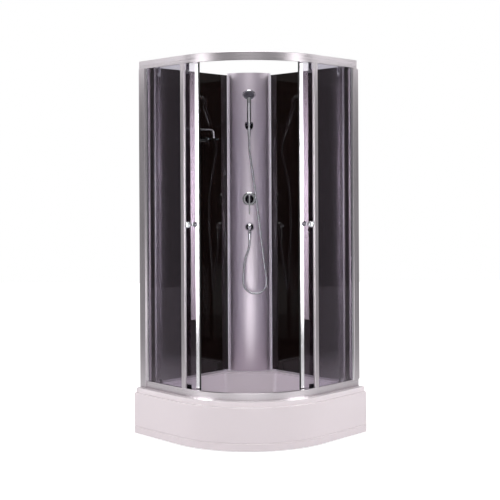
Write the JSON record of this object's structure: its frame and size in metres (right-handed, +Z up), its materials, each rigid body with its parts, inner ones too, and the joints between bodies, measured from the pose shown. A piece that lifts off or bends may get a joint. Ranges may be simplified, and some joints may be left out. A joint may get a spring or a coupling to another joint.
{
  "type": "quadrant shower cabin",
  "caption": "Corner shower cabin with a quadrant tray, two curved sliding doors, dark glass back walls and a corner column with mixer and hand shower.",
  "frame": {"origin": "floor level under the middle of the cabin's bounding box", "axes": "+Z up, front with the doorway towards -Y, room corner towards +Y, walls at 45 degrees to X and Y"},
  "size_m": [1.2912, 1.0628, 2.078],
  "materials": {
    "acrylic": "glossy white sanitary acrylic",
    "apron_acrylic": "glossy white sanitary acrylic",
    "galvanised": "galvanised steel tube",
    "zinc": "zinc-plated steel",
    "foot_rubber": "moulded black plastic",
    "white_plastic": "moulded white plastic",
    "satin_aluminium": "satin anodised",
    "bright_aluminium": "bright anodised",
    "tinted_glass": "toughened, light grey tint",
    "dark_glass": "toughened, black enamelled back",
    "column_aluminium": "satin anodised",
    "chrome": "polished",
    "brass": "cast, unplated",
    "cartridge_plastic": "moulded",
    "hose_chrome": "polished interlocked strip",
    "spray_grey": "satin grey",
    "shelf_clear": "toughened",
    "seal_black": "magnetic strip, black",
    "nylon": "moulded nylon"
  },
  "bodies": {
    "cabin": {"tray": "acrylic", "apron": "apron_acrylic", "apron_clips": "zinc", "tray_frame": "galvanised", "foot_rods": "zinc", "foot_pads": "foot_rubber", "foot_nuts": "zinc", "waste_body": "white_plastic", "waste_trap": "white_plastic", "bottom_rail": "satin_aluminium", "top_rail": "satin_aluminium", "side_post_left": "satin_aluminium", "side_post_right": "satin_aluminium", "wall_channels": "satin_aluminium", "edge_strips": "bright_aluminium", "fixed_glass_left": "tinted_glass", "fixed_glass_right": "tinted_glass", "fixed_stiles": "satin_aluminium", "back_panel_left": "dark_glass", "back_panel_right": "dark_glass", "panel_trims": "bright_aluminium", "column": "column_aluminium", "column_strips": "bright_aluminium", "column_braces": "galvanised", "mixer_body": "brass", "mixer_cartridge": "cartridge_plastic", "mixer_escutcheon": "chrome", "feed_pipe": "brass", "outlet_elbow": "brass", "outlet_dome": "chrome", "hose_nut_lower": "chrome", "hose": "hose_chrome", "handset_holder": "chrome", "shelf_glass": "shelf_clear", "shelf_rail": "chrome", "shelf_brackets": "chrome"},
    "drain_cover": {"waste_cover": "chrome"},
    "mixer_cap": {"mixer_cap": "chrome"},
    "mixer_lever": {"mixer_lever": "chrome"},
    "hand_shower": {"handset": "chrome", "spray_face": "spray_grey", "hose_nut_upper": "chrome"},
    "door_left": {"door_glass_left": "tinted_glass", "door_lead_stile_left": "bright_aluminium", "door_trail_stile_left": "satin_aluminium", "door_seal_left": "seal_black", "door_knob_left": "chrome", "roller_arms_left": "zinc", "door_guides_left": "nylon"},
    "lead_roller_left": {"roller_lead_left": "nylon"},
    "trail_roller_left": {"roller_trail_left": "nylon"},
    "door_right": {"door_glass_right": "tinted_glass", "door_lead_stile_right": "bright_aluminium", "door_trail_stile_right": "satin_aluminium", "door_seal_right": "seal_black", "door_knob_right": "chrome", "roller_arms_right": "zinc", "door_guides_right": "nylon"},
    "lead_roller_right": {"roller_lead_right": "nylon"},
    "trail_roller_right": {"roller_trail_right": "nylon"}
  },
  "joints": [
    {"name": "door_left", "type": "hinge", "parent": "cabin", "child": "door_left", "pos_m": [0.11344, 0.27006, 0.28], "axis": [0, 0, 1], "range_deg": [0, 22.22]},
    {"name": "lead_roller_left_spin", "type": "hinge", "parent": "door_left", "child": "lead_roller_left", "pos_m": [-0.33756, -0.33071, 2.0628], "axis": [-0.5163, -0.8564, 0], "continuous": true},
    {"name": "trail_roller_left_spin", "type": "hinge", "parent": "door_left", "child": "trail_roller_left", "pos_m": [-0.5066, -0.16213, 2.0628], "axis": [-0.855, -0.5186, 0], "continuous": true},
    {"name": "door_right", "type": "hinge", "parent": "cabin", "child": "door_right", "pos_m": [-0.11344, 0.27006, 0.28], "axis": [0, 0, 1], "range_deg": [-22.22, 0]},
    {"name": "lead_roller_right_spin", "type": "hinge", "parent": "door_right", "child": "lead_roller_right", "pos_m": [0.33756, -0.33071, 2.0628], "axis": [0.5163, -0.8564, 0], "continuous": true},
    {"name": "trail_roller_right_spin", "type": "hinge", "parent": "door_right", "child": "trail_roller_right", "pos_m": [0.5066, -0.16213, 2.0628], "axis": [0.855, -0.5186, 0], "continuous": true},
    {"name": "mixer_swing", "type": "hinge", "parent": "cabin", "child": "mixer_cap", "pos_m": [0, 0.33433, 1.301], "axis": [0, -1, 0], "range_deg": [-45, 45]},
    {"name": "mixer_lift", "type": "hinge", "parent": "mixer_cap", "child": "mixer_lever", "pos_m": [0, 0.32933, 1.301], "axis": [-1, 0, 0], "range_deg": [0, 25]},
    {"name": "handset_lift", "type": "slide", "parent": "cabin", "child": "hand_shower", "axis": [0, -0.309, 0.9511], "range_m": [0, 0.06], "deforming": ["hose"]},
    {"name": "drain_cover_lift", "type": "slide", "parent": "cabin", "child": "drain_cover", "axis": [0, 0, 1], "range_m": [0, 0.06]}
  ],
  "couplings": [
    {"joint": "lead_roller_left_spin", "follows": "door_left", "ratio": -67.941},
    {"joint": "trail_roller_left_spin", "follows": "door_left", "ratio": -68.571},
    {"joint": "lead_roller_right_spin", "follows": "door_right", "ratio": -67.941},
    {"joint": "trail_roller_right_spin", "follows": "door_right", "ratio": -68.571}
  ]
}
